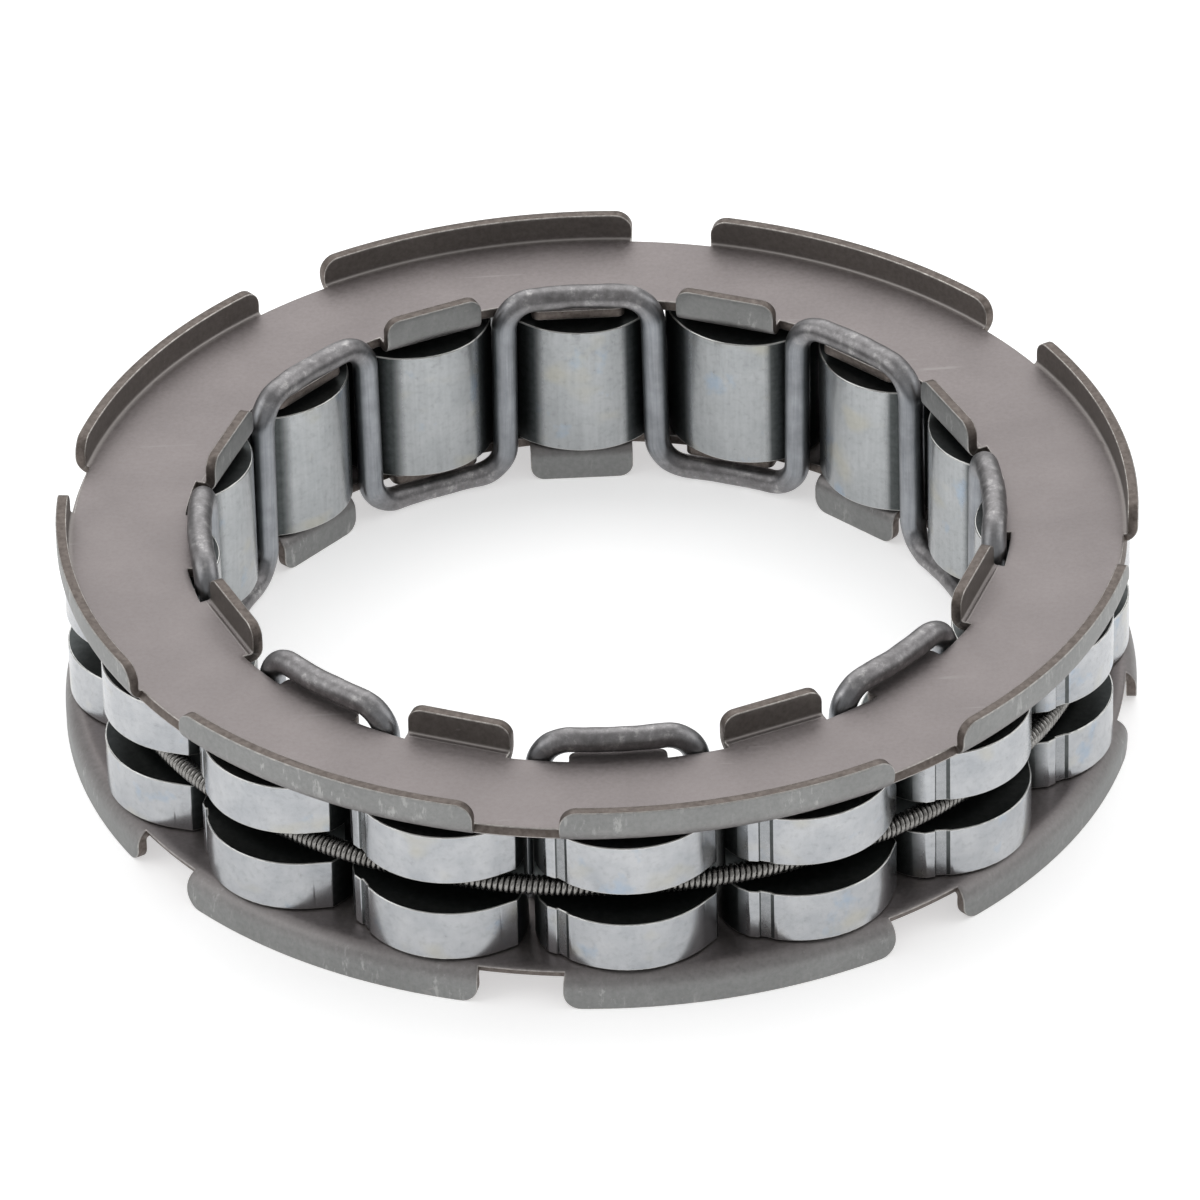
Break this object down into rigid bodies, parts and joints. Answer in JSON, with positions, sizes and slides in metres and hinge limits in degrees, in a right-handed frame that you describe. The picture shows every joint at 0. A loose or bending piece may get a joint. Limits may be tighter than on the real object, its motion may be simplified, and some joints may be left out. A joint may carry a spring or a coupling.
{
  "type": "one-way sprag clutch bearing",
  "caption": "Ring-shaped one-way clutch: slotted cam sprags stand between two tabbed steel side plates, spaced by a bent wire and energised by a garter spring.",
  "frame": {"origin": "centre of the ring, on the shaft axis, midway between the two side plates", "axes": "+Z along the shaft axis; +X through the middle of the first sprag; azimuth counter-clockwise seen from +Z"},
  "size_m": [0.0744, 0.0744, 0.016],
  "materials": {
    "plate_steel": "matt pressed sheet steel with a warm grey phosphate tone, scuffed on the tab edges",
    "wire_steel": "oil-tempered round wire, blue-grey, with bending marks on the crests",
    "spring_steel": "bright drawn spring wire",
    "sprag_steel": "hardened and finely ground steel with faint temper tints"
  },
  "bodies": {
    "cage": {"upper_side_plate": "plate_steel", "lower_side_plate": "plate_steel", "retainer_wire": "wire_steel", "garter_spring": "spring_steel"},
    "sprag_01": {"sprag_01": "sprag_steel"},
    "sprag_02": {"sprag_02": "sprag_steel"},
    "sprag_03": {"sprag_03": "sprag_steel"},
    "sprag_04": {"sprag_04": "sprag_steel"},
    "sprag_05": {"sprag_05": "sprag_steel"},
    "sprag_06": {"sprag_06": "sprag_steel"},
    "sprag_07": {"sprag_07": "sprag_steel"},
    "sprag_08": {"sprag_08": "sprag_steel"},
    "sprag_09": {"sprag_09": "sprag_steel"},
    "sprag_10": {"sprag_10": "sprag_steel"},
    "sprag_11": {"sprag_11": "sprag_steel"},
    "sprag_12": {"sprag_12": "sprag_steel"},
    "sprag_13": {"sprag_13": "sprag_steel"},
    "sprag_14": {"sprag_14": "sprag_steel"},
    "sprag_15": {"sprag_15": "sprag_steel"},
    "sprag_16": {"sprag_16": "sprag_steel"}
  },
  "joints": [
    {"name": "sprag_01_tilt", "type": "hinge", "parent": "cage", "child": "sprag_01", "pos_m": [0.0314, 0, 0], "axis": [0, 0, 1], "range_deg": [0, 6], "stiffness_Nm_per_rad": 0.02, "springref_deg": -8.59},
    {"name": "sprag_02_tilt", "type": "hinge", "parent": "cage", "child": "sprag_02", "pos_m": [0.02901, 0.01202, 0], "axis": [0, 0, 1], "range_deg": [0, 6], "stiffness_Nm_per_rad": 0.02, "springref_deg": -8.59},
    {"name": "sprag_03_tilt", "type": "hinge", "parent": "cage", "child": "sprag_03", "pos_m": [0.0222, 0.0222, 0], "axis": [0, 0, 1], "range_deg": [0, 6], "stiffness_Nm_per_rad": 0.02, "springref_deg": -8.59},
    {"name": "sprag_04_tilt", "type": "hinge", "parent": "cage", "child": "sprag_04", "pos_m": [0.01202, 0.02901, 0], "axis": [0, 0, 1], "range_deg": [0, 6], "stiffness_Nm_per_rad": 0.02, "springref_deg": -8.59},
    {"name": "sprag_05_tilt", "type": "hinge", "parent": "cage", "child": "sprag_05", "pos_m": [0, 0.0314, 0], "axis": [0, 0, 1], "range_deg": [0, 6], "stiffness_Nm_per_rad": 0.02, "springref_deg": -8.59},
    {"name": "sprag_06_tilt", "type": "hinge", "parent": "cage", "child": "sprag_06", "pos_m": [-0.01202, 0.02901, 0], "axis": [0, 0, 1], "range_deg": [0, 6], "stiffness_Nm_per_rad": 0.02, "springref_deg": -8.59},
    {"name": "sprag_07_tilt", "type": "hinge", "parent": "cage", "child": "sprag_07", "pos_m": [-0.0222, 0.0222, 0], "axis": [0, 0, 1], "range_deg": [0, 6], "stiffness_Nm_per_rad": 0.02, "springref_deg": -8.59},
    {"name": "sprag_08_tilt", "type": "hinge", "parent": "cage", "child": "sprag_08", "pos_m": [-0.02901, 0.01202, 0], "axis": [0, 0, 1], "range_deg": [0, 6], "stiffness_Nm_per_rad": 0.02, "springref_deg": -8.59},
    {"name": "sprag_09_tilt", "type": "hinge", "parent": "cage", "child": "sprag_09", "pos_m": [-0.0314, 0, 0], "axis": [0, 0, 1], "range_deg": [0, 6], "stiffness_Nm_per_rad": 0.02, "springref_deg": -8.59},
    {"name": "sprag_10_tilt", "type": "hinge", "parent": "cage", "child": "sprag_10", "pos_m": [-0.02901, -0.01202, 0], "axis": [0, 0, 1], "range_deg": [0, 6], "stiffness_Nm_per_rad": 0.02, "springref_deg": -8.59},
    {"name": "sprag_11_tilt", "type": "hinge", "parent": "cage", "child": "sprag_11", "pos_m": [-0.0222, -0.0222, 0], "axis": [0, 0, 1], "range_deg": [0, 6], "stiffness_Nm_per_rad": 0.02, "springref_deg": -8.59},
    {"name": "sprag_12_tilt", "type": "hinge", "parent": "cage", "child": "sprag_12", "pos_m": [-0.01202, -0.02901, 0], "axis": [0, 0, 1], "range_deg": [0, 6], "stiffness_Nm_per_rad": 0.02, "springref_deg": -8.59},
    {"name": "sprag_13_tilt", "type": "hinge", "parent": "cage", "child": "sprag_13", "pos_m": [0, -0.0314, 0], "axis": [0, 0, 1], "range_deg": [0, 6], "stiffness_Nm_per_rad": 0.02, "springref_deg": -8.59},
    {"name": "sprag_14_tilt", "type": "hinge", "parent": "cage", "child": "sprag_14", "pos_m": [0.01202, -0.02901, 0], "axis": [0, 0, 1], "range_deg": [0, 6], "stiffness_Nm_per_rad": 0.02, "springref_deg": -8.59},
    {"name": "sprag_15_tilt", "type": "hinge", "parent": "cage", "child": "sprag_15", "pos_m": [0.0222, -0.0222, 0], "axis": [0, 0, 1], "range_deg": [0, 6], "stiffness_Nm_per_rad": 0.02, "springref_deg": -8.59},
    {"name": "sprag_16_tilt", "type": "hinge", "parent": "cage", "child": "sprag_16", "pos_m": [0.02901, -0.01202, 0], "axis": [0, 0, 1], "range_deg": [0, 6], "stiffness_Nm_per_rad": 0.02, "springref_deg": -8.59}
  ],
  "couplings": [
    {"joint": "sprag_02_tilt", "follows": "sprag_01_tilt", "ratio": 1},
    {"joint": "sprag_03_tilt", "follows": "sprag_01_tilt", "ratio": 1},
    {"joint": "sprag_04_tilt", "follows": "sprag_01_tilt", "ratio": 1},
    {"joint": "sprag_05_tilt", "follows": "sprag_01_tilt", "ratio": 1},
    {"joint": "sprag_06_tilt", "follows": "sprag_01_tilt", "ratio": 1},
    {"joint": "sprag_07_tilt", "follows": "sprag_01_tilt", "ratio": 1},
    {"joint": "sprag_08_tilt", "follows": "sprag_01_tilt", "ratio": 1},
    {"joint": "sprag_09_tilt", "follows": "sprag_01_tilt", "ratio": 1},
    {"joint": "sprag_10_tilt", "follows": "sprag_01_tilt", "ratio": 1},
    {"joint": "sprag_11_tilt", "follows": "sprag_01_tilt", "ratio": 1},
    {"joint": "sprag_12_tilt", "follows": "sprag_01_tilt", "ratio": 1},
    {"joint": "sprag_13_tilt", "follows": "sprag_01_tilt", "ratio": 1},
    {"joint": "sprag_14_tilt", "follows": "sprag_01_tilt", "ratio": 1},
    {"joint": "sprag_15_tilt", "follows": "sprag_01_tilt", "ratio": 1},
    {"joint": "sprag_16_tilt", "follows": "sprag_01_tilt", "ratio": 1}
  ]
}
